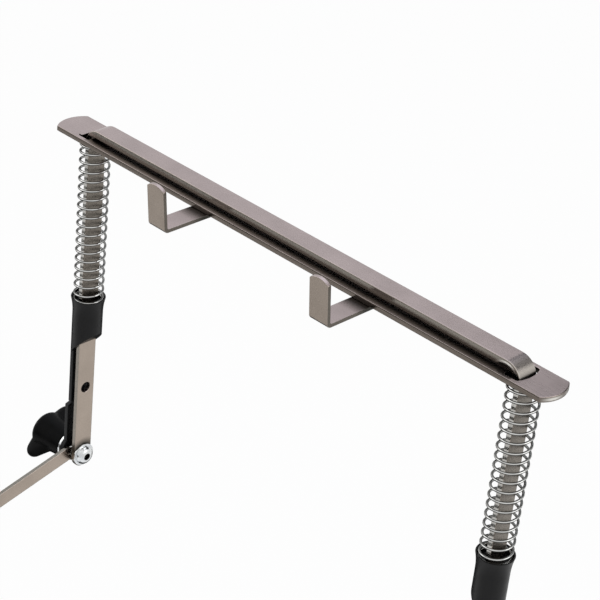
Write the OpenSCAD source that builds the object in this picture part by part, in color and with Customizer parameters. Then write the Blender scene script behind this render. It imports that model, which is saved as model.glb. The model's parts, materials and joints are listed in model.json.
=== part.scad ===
// Harmonica holder worn round the neck. A bent strip frame carries a sprung holder plate that
// presses a harmonica up against the crossbar, and the frame tilts on the ends of a neck loop.
// The origin is the inner face of the loop where it rests on the neck. +X is to the right in the
// front view, +Y leads from the neck towards the frame and +Z is up.

/* [Clamp frame] */
// Width of the flat strip that the frame is bent from
strip_w = 10; // [8:0.5:13]
// Thickness of that strip
strip_t = 2.5; // [2:0.1:3.2]
// Distance between the centre planes of the two uprights
upright_span = 248; // [220:1:300]
// Height of the crossbar's top above the pivots
frame_rise = 175.6; // [160:1:220]
// Outer radius of the bends between crossbar and uprights
frame_bend_r = 8; // [6:0.5:12]
// Height of the spare hole in each upright above the pivot
spare_hole_rise = 38.2; // [30:0.5:50]
// Diameter of the spare holes
spare_hole_d = 5.2; // [4.2:0.1:6.4]
// Distance from the pivots down to the uprights' rounded ends
upright_end = 6.7; // [5:0.1:9]

/* [Holder plate] */
// Depth of the holder plate from front to back
plate_w = 18; // [17:0.5:26]
// Thickness of the holder plate
plate_t = 2.5; // [1.5:0.1:3.5]
// How far the plate's corners stand out past the uprights' centre planes
plate_overhang = 14.8; // [10:0.1:25]
// How far each end of the plate bows out past its corners
plate_bow = 3.4; // [1:0.1:6]
// Empty space between the crossbar and the plate
grip_gap = 2.1; // [0.5:0.1:5]
// Play between a slot's ends and the edges of the strip
slot_end_play = 1.8; // [0.5:0.1:2.2]
// Radius of each slot's bowed outer edge
slot_bow_r = 16; // [12:0.5:40]
// Gap between a slot's inner edge and the frame's bend, which stops the plate
slot_stop_gap = 0.27; // [0.1:0.01:1]
// How far the plate has slid to the left, within the play of its slots
plate_slip = 1.4; // [0:0.1:2]

/* [Stop tabs] */
// Distance between the centres of the two stop tabs
tab_spacing = 93.6; // [60:1:140]
// Width of each stop tab
tab_w = 10; // [6:0.5:16]
// Thickness of each stop tab
tab_t = 1.8; // [1:0.1:2.3]
// Distance from the plate's centre line to the front of each tab's bend
tab_reach = 32.7; // [24:0.5:45]
// Height of the tabs' tips above the plate's top face
tab_rise = 17; // [8:0.5:22]
// Forward lean of the tabs' upright legs, in degrees
tab_lean = 6.7; // [0:0.1:15]
// Outer radius of the tabs' bends
tab_bend_r = 2.5; // [2.4:0.1:5]
// How far the tabs' tips bow up past their corners
tab_bow = 1.9; // [0.5:0.1:3]
// Length of each tab's lower leg behind the plate's centre line
tab_tail = 7; // [2:0.5:8]

/* [Springs] */
// Outer diameter of the springs
spring_d = 14.3; // [13:0.1:14.6]
// Diameter of the spring wire
wire_d = 1.1; // [0.8:0.1:1.4]
// Turns of each spring, the closed end turns included
spring_turns = 19.75; // [12:0.25:22]
// Number of turns wound close at each end
end_turns = 1.25; // [1:0.05:1.5]
// Rise of those turns
end_pitch = 1.5; // [1.4:0.1:2]
// Angle at which the left spring's wire starts at its lower end, in degrees
left_wire_start = 340; // [0:5:355]
// Angle at which the right spring's wire starts at its lower end, in degrees
right_wire_start = 110; // [0:5:355]

/* [Spring guides] */
// Height of the spring seat above the pivot
seat_rise = 85.4; // [75:0.2:100]
// Radius of the guides' round bodies
guide_r = 7.1; // [6.6:0.1:8]
// How far the cup's rim flares out past the body
cup_flare = 1.05; // [0.6:0.05:2]
// Wall thickness of the cup at its rim
cup_wall = 0.75; // [0.5:0.05:1]
// Depth of the cup that holds the spring's end
cup_depth = 2.6; // [0.8:0.1:4]
// Height of the flare below the rim
flare_h = 8; // [5:0.5:12]
// Distance from the seat down to the inner end of the slanted foot of the body
foot_drop = 15.4; // [12:0.2:20]
// Distance from the seat down to the shoulder where the leg starts
shoulder_drop = 25.9; // [22:0.1:32]
// Width of the leg
leg_w = 11; // [7:0.5:13]
// Space between the upright and the leg
leg_gap = 1.35; // [1:0.05:3]
// Height above the pivot at which the leg has stepped out to the cheek
step_rise = 26; // [20:0.5:30]
// Height of that step
step_h = 4; // [2:0.5:6]
// Thickness of the cheek round the pivot
cheek_t = 2.2; // [1.5:0.1:4]
// Width of the cheek
cheek_w = 9; // [6:0.5:12]
// Diameter of the eye at the cheek's foot
eye_d = 14; // [11:0.5:18]

/* [Pivots] */
// Diameter of the pivot screws' shanks
screw_d = 5; // [4:0.1:6]
// Length of the screws under their heads
screw_l = 20; // [18.5:0.5:22]
// Diameter of the flange under each screw head
head_flange_d = 11.6; // [9:0.1:14]
// Diameter of each screw head above its flange
head_d = 9.4; // [8:0.1:11]
// Diameter of the flat top of each screw head
crown_d = 4.7; // [4.7:0.1:7]
// Height of the screw heads, flange included
head_h = 3.4; // [2.2:0.1:4]
// Thickness of the flange
head_flange_t = 0.9; // [0.5:0.1:1.2]
// Width across flats of the socket in each head
socket_af = 3; // [2:0.1:4]
// Depth of the socket
socket_depth = 1.7; // [1:0.1:2]
// Outer diameter of the toothed washers
tooth_washer_d = 11; // [9:0.5:14]
// Height of the toothed washers over their twisted teeth
tooth_washer_h = 2.4; // [1.4:0.1:3]
// Thickness of the toothed washers' sheet
tooth_washer_t = 0.7; // [0.4:0.1:1]
// Number of teeth on each toothed washer
tooth_count = 8; // [6:1:10]
// How far each tooth stands out from the washer's ring
tooth_l = 1.2; // [0.8:0.1:1.6]
// Twist of the teeth out of the ring's plane, in degrees
tooth_twist = 50; // [30:1:75]
// Outer diameter of the flat washers
flat_washer_d = 14.2; // [12:0.1:20]
// Thickness of the flat washers
flat_washer_t = 1.2; // [0.8:0.1:2]

/* [Wing nuts] */
// Radius of the hub at its base
hub_base_r = 7.1; // [6.5:0.1:9]
// Radius of the hub at its widest, near its outer end
hub_top_r = 9; // [7:0.1:11]
// Length of the hub
hub_l = 19.8; // [15:0.1:24]
// Radius of the round edge at the hub's outer end
hub_round_r = 3; // [1:0.1:6]
// Distance from the pivot's axis to the wings' tips
wing_reach = 15.4; // [13:0.1:20]
// Radius of the wings' round tips
wing_tip_r = 5.5; // [4:0.1:7]
// Distance from the hub's base to the middle of the wings' tips
wing_offset = 14.7; // [12:0.1:18]
// Thickness of the wings at the tips' middle
wing_t = 4.6; // [3:0.1:7]
// Radius of the round ends of the wings' roots
wing_root_r = 4.3; // [3:0.1:5.5]
// Thickness of the wings at their roots
wing_root_t = 6; // [3:0.1:8]
// How far a root's outer end lies out past the middle of the tip, towards the hub's end
wing_root_out = 2.4; // [0:0.1:4]
// How far a root's inner end lies in from the middle of the tip, towards the hub's base
wing_root_in = 5.2; // [2:0.1:7]
// Angle of the wings in the side view, in degrees
wing_angle = 35; // [0:5:175]
// Width across flats of the threaded inserts
insert_af = 8; // [7:0.1:9]
// Thickness of the threaded inserts
insert_t = 4; // [3:0.1:6]
// Depth of the inserts' outer faces below the hub's base
insert_inset = 0.3; // [0:0.1:1]

/* [Neck loop] */
// Height of the strip that the loop is bent from
neck_strip_h = 7.5; // [6:0.5:12]
// Thickness of that strip
neck_strip_t = 2; // [1.5:0.1:3]
// Length of each straight arm, from the pivot to the first bend
arm_l = 150; // [100:5:220]
// Radius of the two corner bends, at the middle of the strip
corner_r = 75; // [40:5:100]
// Angle through which each corner bends, in degrees
corner_angle = 65; // [50:1:75]
// Slope of the loop below the pivots, in degrees
loop_slope = 13.5; // [0:0.5:40]

/* [Fits] */
// Radial clearance of the holes that the screws run through
bore_clear = 0.08; // [0.03:0.01:0.1]
// Gap between faces that turn against each other
face_gap = 0.05; // [0.02:0.01:0.1]
// Gap between a spring's end and the face that it rests on
spring_seat_gap = 0.05; // [0.02:0.01:0.2]
// Clearance of the guides' passages round the strip
passage_clear = 0.1; // [0.05:0.05:0.3]
// Smallest clearance between a slot's outer edge and the strip
slot_clear = 0.15; // [0.1:0.05:0.5]
// Clearance round the threaded inserts in their pockets
pocket_clear = 0.05; // [0.02:0.01:0.1]
// Clearance between the screws and the wing nuts' bores
nut_bore_clear = 0.25; // [0.1:0.05:0.5]

/* [Hidden] */
$fn = 64;

nickel = "#a89c92";
spring_steel = "#c9ccd0";
zinc = "#d6d8dc";
black = "#262626";

// Extra length that carries a cut clear of the faces it goes through
cut = 1;

// Distances from the frame's middle plane outwards along X, from the screw head to the wing nut
upright_x = upright_span / 2;
upright_in = upright_x - strip_t / 2;
upright_out = upright_x + strip_t / 2;
arm_in = upright_out + tooth_washer_h + 2 * face_gap;
arm_x = arm_in + neck_strip_t / 2;
cheek_in = arm_in + neck_strip_t + face_gap;
cheek_out = cheek_in + cheek_t;
nut_in = cheek_out + flat_washer_t + face_gap;
screw_end = upright_in + screw_l;

// Heights above the pivots
crossbar_under = frame_rise - strip_t;
plate_top = crossbar_under - grip_gap;
plate_under = plate_top - plate_t;
rim_top = seat_rise + cup_depth;
shoulder_rise = seat_rise - shoulder_drop;
foot_rise = seat_rise - foot_drop;

// Holes
shank_r = screw_d / 2;
pivot_hole_r = shank_r + bore_clear;

// The loop's rear arc joins the two corner bends, and its middle rests on the neck
rear_r = corner_r + (arm_x - corner_r) / cos(corner_angle);
rear_centre = arm_l - (rear_r - corner_r) * sin(corner_angle);
loop_reach = rear_centre + rear_r - neck_strip_t / 2;
pivot_y = loop_reach * cos(loop_slope);
pivot_z = loop_reach * sin(loop_slope);

// Inner surface of the frame's bend at the height of the plate's top face
bend_in_r = frame_bend_r - strip_t;
bend_height = max(0, bend_in_r - grip_gap);
bend_face = upright_in - bend_in_r + sqrt(bend_in_r * bend_in_r - bend_height * bend_height);

// Spring: height of the lower wire centre, and the pitch that fills the room between the seats
wire_r = wire_d / 2;
coil_r = spring_d / 2 - wire_r;
coil_low = seat_rise + spring_seat_gap + wire_r;
coil_room = plate_under - spring_seat_gap - wire_r - coil_low;
open_pitch = end_pitch + (coil_room - end_pitch * spring_turns) / (spring_turns - 2 * end_turns);
rings_per_turn = 8;
wire_sides = 6;

// A 2D outline in the side view, drawn out along X about the middle plane
module along_x(length) {
    rotate([90, 0, 90]) linear_extrude(length, center = true) children();
}

// A 2D outline in the front view, drawn out along Y about the strip's centre line
module along_y(length) {
    rotate([90, 0, 0]) linear_extrude(length, center = true) children();
}

// A round bar or bore along X between two distances from the middle plane
module rod_x(from, to, r) {
    translate([from, 0, 0]) rotate([0, 90, 0]) cylinder(r = r, h = to - from);
}

// Carries what is measured from the middle of the pivots' axis to its place
module at_pivots() {
    translate([0, pivot_y, pivot_z]) children();
}

// Places a right-hand piece on its own side, and mirrors it for the left one
module on_side(side) {
    if (side > 0) at_pivots() children();
    else at_pivots() mirror([1, 0, 0]) children();
}

// A band of constant thickness along an arc, less than half a circle, in 2D
module arc_band(r, thickness, from, to) {
    far = 2 * r;
    middle = (from + to) / 2;
    intersection() {
        difference() {
            circle(r = r + thickness / 2, $fn = 180);
            circle(r = r - thickness / 2, $fn = 180);
        }
        polygon([[0, 0], far * [cos(from), sin(from)], far * [cos(middle), sin(middle)],
                 far * [cos(to), sin(to)]]);
    }
}

// A rectangle with two corners rounded at its top, in 2D
module arch(half_w, low, high, r) {
    translate([-half_w, low]) square([2 * half_w, high - r - low]);
    translate([r - half_w, low]) square([2 * (half_w - r), high - low]);
    for (side = [-1, 1]) translate([side * (half_w - r), high - r]) circle(r = r);
}

module neck_loop() {
    color(nickel) at_pivots() rotate([loop_slope, 0, 0]) difference() {
        intersection() {
            linear_extrude(neck_strip_h, center = true) loop_line();
            along_x(2 * (arm_x + neck_strip_t)) loop_side();
        }
        rod_x(-arm_x - neck_strip_t, arm_x + neck_strip_t, pivot_hole_r);
    }
}

// The loop's strip seen from above, from arm end to arm end
module loop_line() {
    for (side = [-1, 1]) {
        translate([side * arm_x - neck_strip_t / 2, -arm_l])
            square([neck_strip_t, arm_l + neck_strip_h]);
    }
    translate([arm_x - corner_r, -arm_l]) arc_band(corner_r, neck_strip_t, -corner_angle, 0);
    translate([corner_r - arm_x, -arm_l]) arc_band(corner_r, neck_strip_t, 180, 180 + corner_angle);
    translate([0, -rear_centre]) arc_band(rear_r, neck_strip_t, corner_angle - 180, -corner_angle);
}

// The loop's strip seen from the side, with the arms' ends rounded about the pivots
module loop_side() {
    circle(r = neck_strip_h / 2);
    translate([-loop_reach - neck_strip_h, -neck_strip_h / 2])
        square([loop_reach + neck_strip_h, neck_strip_h]);
}

module clamp_frame() {
    color(nickel) at_pivots() difference() {
        intersection() {
            along_y(strip_w) frame_line();
            along_x(upright_span + 2 * strip_w) upright_side();
        }
        for (x = [-upright_out - cut, upright_in - cut]) {
            rod_x(x, x + strip_t + 2 * cut, pivot_hole_r);
            translate([0, 0, spare_hole_rise]) rod_x(x, x + strip_t + 2 * cut, spare_hole_d / 2);
        }
    }
}

// The frame's strip seen from the front
module frame_line() {
    difference() {
        arch(upright_out, -strip_w, frame_rise, frame_bend_r);
        arch(upright_in, -2 * strip_w, crossbar_under, bend_in_r);
    }
}

// An upright seen from the side, with its end rounded below the pivot
module upright_side() {
    round_z = strip_w / 2 - upright_end;
    translate([0, round_z]) circle(r = strip_w / 2);
    translate([-strip_w / 2, round_z]) square([strip_w, frame_rise + cut - round_z]);
}

module holder_plate() {
    place = [-plate_slip, 0, plate_under];
    color(nickel) at_pivots() translate(place) linear_extrude(plate_t) difference() {
        plate_outline();
        for (side = [-1, 1]) scale([side, 1]) plate_slot();
    }
}

// The plate from above: straight sides, and ends bowed out between their corners
module plate_outline() {
    half_w = plate_w / 2;
    corner_x = upright_x + plate_overhang;
    end_r = (half_w * half_w + plate_bow * plate_bow) / (2 * plate_bow);
    square([2 * corner_x, plate_w], center = true);
    intersection() {
        square([2 * (corner_x + plate_bow), plate_w], center = true);
        for (side = [-1, 1]) translate([side * (corner_x + plate_bow - end_r), 0])
            circle(r = end_r, $fn = 128);
    }
}

// The slot that the right upright passes through, with its outer edge bowed
module plate_slot() {
    half_l = strip_w / 2 + slot_end_play;
    inner = bend_face - slot_stop_gap - plate_slip;
    outer = upright_out + slot_clear + plate_slip;
    bow_x = outer - sqrt(slot_bow_r * slot_bow_r - strip_w * strip_w / 4);
    intersection() {
        translate([inner, -half_l]) square([slot_bow_r + plate_slip, 2 * half_l]);
        translate([bow_x, 0]) circle(r = slot_bow_r, $fn = 128);
    }
}

// A flat strip bent up in front of the plate, with its lower leg flat against the plate's underside
module stop_tab(side) {
    leg_rise = tab_rise + plate_t + tab_t - tab_bend_r;
    leg_l = leg_rise / cos(tab_lean) + tab_bend_r * tan(tab_lean);
    bend = [0, tab_bend_r - tab_reach, plate_under - tab_t + tab_bend_r];
    color(nickel) at_pivots() translate([side * tab_spacing / 2, 0, 0]) translate(bend) intersection() {
        along_x(tab_w) tab_line(leg_l + tab_bow);
        rotate([tab_lean, 0, 0]) along_y(4 * tab_reach) tab_tip(leg_l);
    }
}

// A tab seen from the side, measured from the middle of its bend
module tab_line(leg_l) {
    steps = 14;
    inner_r = tab_bend_r - tab_t;
    tail = tab_tail + tab_reach - tab_bend_r;
    ways = [for (i = [0:steps]) let (a = 180 + tab_lean + (90 - tab_lean) * i / steps) [cos(a), sin(a)]];
    leg = leg_l * [-sin(tab_lean), cos(tab_lean)];
    polygon(concat([tab_bend_r * ways[0] + leg], tab_bend_r * ways,
                   [[tail, -tab_bend_r], [tail, -inner_r]],
                   [for (i = [steps:-1:0]) inner_r * ways[i]], [inner_r * ways[0] + leg]));
}

// What a tab keeps, seen square to its upright leg: all that lies below its bowed tip
module tab_tip(top) {
    tip_r = (tab_w * tab_w / 4 + tab_bow * tab_bow) / (2 * tab_bow);
    low = top - tip_r;
    translate([-tab_w, low - 2 * tab_reach]) square([2 * tab_w, 2 * tab_reach]);
    translate([0, low]) circle(r = tip_r, $fn = 96);
}

// Turns climbed at the full pitch after t turns, which sets in gently over one turn
function climb(t) = let (u = t - end_turns + 0.5) u < 0 ? 0 : u < 1 ? u * u / 2 : u - 0.5;

// Height of the wire t turns up from a spring's lower end, alike from both ends
function end_rise(t) = end_pitch * t + (open_pitch - end_pitch) * climb(t);
function wire_rise(t) = t < spring_turns / 2 ? end_rise(t) : coil_room - end_rise(spring_turns - t);

// Centre of the wire after t turns
function wire_point(t) = [coil_r * cos(360 * t), coil_r * sin(360 * t),
                          coil_low + wire_rise(t)];

// Direction of the wire after t turns, from the slope of its rise
function wire_way(t) =
    let (way = [-2 * PI * coil_r * sin(360 * t), 2 * PI * coil_r * cos(360 * t),
                (wire_rise(t + 0.01) - wire_rise(t - 0.01)) / 0.02])
    way / norm(way);

// A ring of points round the wire after t turns, pushed on along the wire by ahead
function wire_ring(t, ahead) =
    let (out = [cos(360 * t), sin(360 * t), 0], way = wire_way(t),
         up = cross(out, way), middle = wire_point(t) + ahead * way)
    [for (k = [0:wire_sides - 1])
        let (a = 360 * (k + 0.5) / wire_sides) middle + wire_r * (cos(a) * out + sin(a) * up)];

// Steps along the wire, with a straight run of one wire diameter past each end of the coil
coil_steps = floor(spring_turns * rings_per_turn);
wire_turns = [for (i = [0:coil_steps]) i * spring_turns / coil_steps];
wire_rings = concat([wire_ring(0, -wire_d)], [for (t = wire_turns) wire_ring(t, 0)],
                    [wire_ring(spring_turns, wire_d)]);

// Least gap between two places on the wire that are more than half a turn apart
coil_gap = min([for (t = wire_turns) for (u = wire_turns)
                if (u > t + 0.5 && u < t + 1.5) norm(wire_point(u) - wire_point(t)) - wire_d]);
echo(least_gap_between_spring_turns = coil_gap);

// A compression spring round an upright, wound from one wire with close end turns
module spring(side) {
    last = len(wire_rings) - 1;
    walls = [for (i = [0:last - 1]) for (k = [0:wire_sides - 1])
        let (a = i * wire_sides + k, b = i * wire_sides + (k + 1) % wire_sides)
        each [[a, b, b + wire_sides], [a, b + wire_sides, a + wire_sides]]];
    ends = [for (k = [1:wire_sides - 2]) each [[0, k + 1, k],
            [last * wire_sides, last * wire_sides + k, last * wire_sides + k + 1]]];
    color(spring_steel) at_pivots() translate([side * upright_x, 0, 0])
        rotate(side < 0 ? left_wire_start : right_wire_start)
            polyhedron(points = [for (ring = wire_rings) each ring], faces = concat(walls, ends));
}

// The moulded piece that slides onto an upright: a cup for the spring, a round body with a
// slanted foot, and a leg that steps out past the loop's arm to an eye on the pivot screw
module spring_guide(side) {
    color(black) on_side(side) difference() {
        union() {
            intersection() {
                translate([upright_x, 0, 0]) guide_column();
                along_y(4 * guide_r) guide_front();
                along_x(4 * upright_x) guide_side();
            }
            along_y(cheek_w) cheek_front();
            rod_x(cheek_in, cheek_out, eye_d / 2);
        }
        translate([upright_x, 0, seat_rise])
            cylinder(r = guide_r + cup_flare - cup_wall, h = cup_depth + cut);
        translate([upright_x, 0, (shoulder_rise + rim_top) / 2])
            cube([strip_t + 2 * passage_clear, strip_w + 2 * passage_clear, rim_top], center = true);
        rod_x(cheek_in - cut, cheek_out + cut, pivot_hole_r);
    }
}

// The guide's round body and leg as one turned column, hollowed out in below the flared rim
module guide_column() {
    rim_r = guide_r + cup_flare;
    flare_r = (flare_h * flare_h + cup_flare * cup_flare) / (2 * cup_flare);
    flare_low = rim_top - flare_h;
    steps = 8;
    rotate_extrude($fn = 96) polygon(concat(
        [[0, step_rise], [guide_r, step_rise]],
        [for (i = [0:steps])
            let (h = flare_h * i / steps)
            [guide_r + flare_r - sqrt(flare_r * flare_r - h * h), flare_low + h]],
        [[0, rim_top]]));
}

// What the column keeps in the front view: its foot slants down to the leg's inner face
module guide_front() {
    leg_in = upright_out + leg_gap;
    polygon([[upright_x - 2 * guide_r, rim_top + cut], [upright_x + 2 * guide_r, rim_top + cut],
             [upright_x + 2 * guide_r, step_rise + step_h], [leg_in, step_rise + step_h],
             [leg_in, shoulder_rise], [upright_x - guide_r, foot_rise],
             [upright_x - 2 * guide_r, foot_rise]]);
}

// What it keeps in the side view: the leg is narrower than the body, with small round shoulders
module guide_side() {
    shoulder_r = guide_r - leg_w / 2;
    translate([-2 * guide_r, shoulder_rise]) square([4 * guide_r, rim_top + cut - shoulder_rise]);
    translate([-leg_w / 2, 0]) square([leg_w, rim_top]);
    for (turn = [0, 1]) mirror([turn, 0]) difference() {
        translate([0, shoulder_rise - shoulder_r]) square([guide_r, shoulder_r]);
        translate([guide_r, shoulder_rise - shoulder_r]) circle(r = shoulder_r);
    }
}

// The cheek in the front view, with the step that joins it to the leg above
module cheek_front() {
    leg_in = upright_out + leg_gap;
    leg_out = upright_x + sqrt(guide_r * guide_r - leg_w * leg_w / 4);
    polygon([[cheek_in, 0], [cheek_out, 0], [cheek_out, step_rise], [leg_out, step_rise + step_h],
             [leg_in, step_rise + step_h], [cheek_in, step_rise]]);
}

// A flanged button-head screw put in from inside the frame, with a hexagon socket
module pivot_screw(side) {
    dome_h = head_h - head_flange_t;
    crown_r = crown_d / 2;
    dome = [for (a = [0:15:90])
        [crown_r + (head_d / 2 - crown_r) * cos(a), head_flange_t + dome_h * sin(a)]];
    color(zinc) on_side(side) translate([upright_in, 0, 0]) rotate([0, -90, 0]) difference() {
        union() {
            rotate_extrude() polygon(concat([[0, 0], [head_flange_d / 2, 0],
                [head_flange_d / 2, head_flange_t]], dome, [[0, head_h]]));
            translate([0, 0, -screw_l]) cylinder(r = shank_r, h = screw_l);
        }
        translate([0, 0, head_h - socket_depth])
            cylinder(d = socket_af / cos(30), h = socket_depth + cut, $fn = 6);
    }
}

// A lock washer between upright and arm: a thin ring with twisted teeth round it
module toothed_washer(side) {
    root_r = tooth_washer_d / 2 - tooth_l;
    tooth_w = (tooth_washer_h - tooth_washer_t * cos(tooth_twist)) / sin(tooth_twist);
    middle = upright_out + face_gap + tooth_washer_h / 2;
    color(zinc) on_side(side) difference() {
        union() {
            rod_x(middle - tooth_washer_t / 2, middle + tooth_washer_t / 2, root_r);
            for (i = [0:tooth_count - 1]) translate([middle, 0, 0]) rotate([360 * i / tooth_count, 0, 0])
                rotate([0, 0, tooth_twist]) translate([-tooth_washer_t / 2, -tooth_w / 2, 0])
                    tooth(tooth_w, root_r);
        }
        rod_x(upright_out - cut, arm_in + cut, pivot_hole_r);
    }
}

// One tooth, standing out along Z from inside the ring to the washer's edge
module tooth(width, root_r) {
    low = root_r - tooth_washer_t;
    translate([0, 0, low]) cube([tooth_washer_t, width, tooth_washer_d / 2 - low]);
}

module flat_washer(side) {
    color(zinc) on_side(side) difference() {
        rod_x(cheek_out, cheek_out + flat_washer_t, flat_washer_d / 2);
        rod_x(cheek_out - cut, cheek_out + flat_washer_t + cut, pivot_hole_r);
    }
}

// A moulded nut with a domed hub, two rounded wings and a pocket for its threaded insert
module wing_nut(side) {
    bore_end = screw_end - nut_in + 2 * cut;
    pocket_af = insert_af + 2 * pocket_clear;
    color(black) on_side(side) translate([nut_in, 0, 0]) rotate([wing_angle, 0, 0]) difference() {
        union() {
            rotate([0, 90, 0]) hub();
            for (turn = [0, 180]) rotate([turn, 0, 0]) wing();
        }
        rod_x(-cut, bore_end, shank_r + nut_bore_clear);
        rotate([0, 90, 0]) translate([0, 0, -cut])
            cylinder(d = pocket_af / cos(30), h = insert_inset + insert_t + cut, $fn = 6);
    }
}

// The hub on its base: a slight flare, then a round edge and a flat end
module hub() {
    rotate_extrude($fn = 96) polygon(concat([[0, 0], [hub_base_r, 0]],
        [for (a = [0:10:90]) [hub_top_r - hub_round_r * (1 - cos(a)), hub_l - hub_round_r * (1 - sin(a))]],
        [[0, hub_l]]));
}

// One wing, stood out along Y: a round tip, blended down to a broad root along the hub
module wing() {
    hull() {
        pebble([wing_offset, wing_reach - wing_tip_r], wing_tip_r, wing_t);
        pebble([wing_offset + wing_root_out, wing_root_r], wing_root_r, wing_root_t);
        pebble([wing_offset - wing_root_in, wing_root_r], wing_root_r, wing_root_t);
    }
}

// A flattened ball with its middle at a place along X and Y
module pebble(place, r, thickness) {
    translate(place) scale([1, 1, thickness / (2 * r)]) sphere(r = r, $fn = 24);
}

// A hexagonal threaded insert in the wing nut's pocket
module nut_insert(side) {
    color(zinc) on_side(side) translate([nut_in + insert_inset, 0, 0]) rotate([wing_angle, 0, 0])
        rotate([0, 90, 0]) difference() {
            cylinder(d = insert_af / cos(30), h = insert_t, $fn = 6);
            translate([0, 0, -cut]) cylinder(r = shank_r + bore_clear, h = insert_t + 2 * cut);
        }
}

neck_loop();
clamp_frame();
holder_plate();
stop_tab(-1);  // stop_tab_left
stop_tab(1);  // stop_tab_right
spring(-1);  // spring_left
spring(1);  // spring_right
spring_guide(-1);  // spring_guide_left
spring_guide(1);  // spring_guide_right
pivot_screw(-1);  // pivot_screw_left
pivot_screw(1);  // pivot_screw_right
toothed_washer(-1);  // toothed_washer_left
toothed_washer(1);  // toothed_washer_right
flat_washer(-1);  // flat_washer_left
flat_washer(1);  // flat_washer_right
wing_nut(-1);  // wing_nut_left
wing_nut(1);  // wing_nut_right
nut_insert(-1);  // nut_insert_left
nut_insert(1);  // nut_insert_right
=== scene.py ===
"""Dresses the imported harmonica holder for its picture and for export.

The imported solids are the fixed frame. This file winds the two coil springs from round wire, lines
the slots and the crossbar, trims and blends the wing nuts, rounds the edges of the other pieces,
gives every piece its finish, and sets up the floor, the lamps, the dark cards and the camera.
Sizes are in metres, in the part's own frame. Where a docstring says millimetres, they are counted
from the middle of the pivots' axis.
"""

from __future__ import annotations

import json
import logging
import math
from dataclasses import dataclass, field
from enum import Enum
from typing import Any, Sequence

import bmesh
import bpy
from bpy.types import Material, Node, NodeSocket as Socket, NodeTree, Object
from mathutils import Matrix, Vector

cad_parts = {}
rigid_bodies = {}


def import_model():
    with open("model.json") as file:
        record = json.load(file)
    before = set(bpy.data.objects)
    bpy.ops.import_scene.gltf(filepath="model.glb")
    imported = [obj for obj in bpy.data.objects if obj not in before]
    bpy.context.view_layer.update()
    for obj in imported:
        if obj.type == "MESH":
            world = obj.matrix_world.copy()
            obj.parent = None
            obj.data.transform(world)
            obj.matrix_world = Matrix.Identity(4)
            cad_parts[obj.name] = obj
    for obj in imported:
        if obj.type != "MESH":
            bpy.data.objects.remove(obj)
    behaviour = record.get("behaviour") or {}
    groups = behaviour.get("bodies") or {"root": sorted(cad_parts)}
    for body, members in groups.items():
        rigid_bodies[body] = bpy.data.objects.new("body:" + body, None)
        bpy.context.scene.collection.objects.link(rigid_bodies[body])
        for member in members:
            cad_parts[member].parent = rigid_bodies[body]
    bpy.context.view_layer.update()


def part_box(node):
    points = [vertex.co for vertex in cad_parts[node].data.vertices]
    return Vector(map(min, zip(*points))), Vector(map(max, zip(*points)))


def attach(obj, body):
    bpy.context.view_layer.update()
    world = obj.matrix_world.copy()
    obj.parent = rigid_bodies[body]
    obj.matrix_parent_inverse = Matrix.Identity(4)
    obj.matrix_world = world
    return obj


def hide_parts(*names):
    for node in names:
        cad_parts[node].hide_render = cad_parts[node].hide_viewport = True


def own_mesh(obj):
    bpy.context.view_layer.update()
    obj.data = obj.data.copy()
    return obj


LOG = logging.getLogger("harmonica_holder")
MM = 0.001
PIVOT = Vector((0.0, 0.2293977, 0.0550735))
WHITE = (1.0, 1.0, 1.0, 1.0)

Colour = tuple[float, float, float]
Span = tuple[float, float]
Point = tuple[float, float, float]
Box = tuple[Point, Point]
Outline = tuple[tuple[float, float], ...]

# Middle of the right bend, in millimetres. The left bend mirrors it.
BEND = (117.25, 0.0, 167.6)
# Where most of a noise's values lie.
MOST = (0.3, 0.7)
# Share of a normal's squares at which a mask of the faces along an axis starts and is full.
TURNED = (0.5, 0.8)


class Side(Enum):
    """The two sides of the holder, with the sign of their X."""

    LEFT = -1
    RIGHT = 1

    @property
    def word(self) -> str:
        """The side's name as the pieces carry it."""
        return self.name.lower()


class Run(Enum):
    """Which way a strip was rolled, as how stretched its streaks are along X, Y and Z."""

    ACROSS = (0.02, 1.0, 1.0)
    NONE = (1.0, 1.0, 1.0)


class Edges(Enum):
    """Which way a strip's narrow edges face, as the shares of X, Y and Z in their normals."""

    SIDEWAYS = (1.0, 0.0, 0.0)
    FRONT_AND_BACK = (0.0, 1.0, 0.0)
    ALL_ROUND = (1.0, 1.0, 0.0)
    TOP_AND_BOTTOM = (0.0, 0.0, 1.0)


def fill(tree: NodeTree, node: Node, inputs: dict[str | int, Any]) -> None:
    """Sets inputs of a node.

    Args:
        tree: The node's tree.
        node: The node.
        inputs: Each input's name or number, with its value or the socket that feeds it.
    """
    for key, value in inputs.items():
        if isinstance(value, Socket):
            tree.links.new(value, node.inputs[key])
        else:
            node.inputs[key].default_value = value


def add_node(tree: NodeTree, kind: str, inputs: dict[str | int, Any], **settings: Any) -> Node:
    """Adds a node to a tree.

    Args:
        tree: The tree.
        kind: The node's type name.
        inputs: Each input's name or number, with its value or the socket that feeds it.
        **settings: Properties of the node.

    Returns:
        The new node.
    """
    node = tree.nodes.new(kind)
    for key, value in settings.items():
        setattr(node, key, value)
    fill(tree, node, inputs)
    return node


def blank_group(name: str) -> tuple[NodeTree, Socket, Node]:
    """Starts a geometry node group that takes a mesh and gives one.

    Args:
        name: The group's name.

    Returns:
        The group, the socket that gives the mesh, and the node that takes the result.
    """
    group = bpy.data.node_groups.new(name, "GeometryNodeTree")
    for way in ("INPUT", "OUTPUT"):
        group.interface.new_socket("Geometry", in_out=way, socket_type="NodeSocketGeometry")
    start, end = group.nodes.new("NodeGroupInput"), group.nodes.new("NodeGroupOutput")
    return group, start.outputs[0], end


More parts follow.
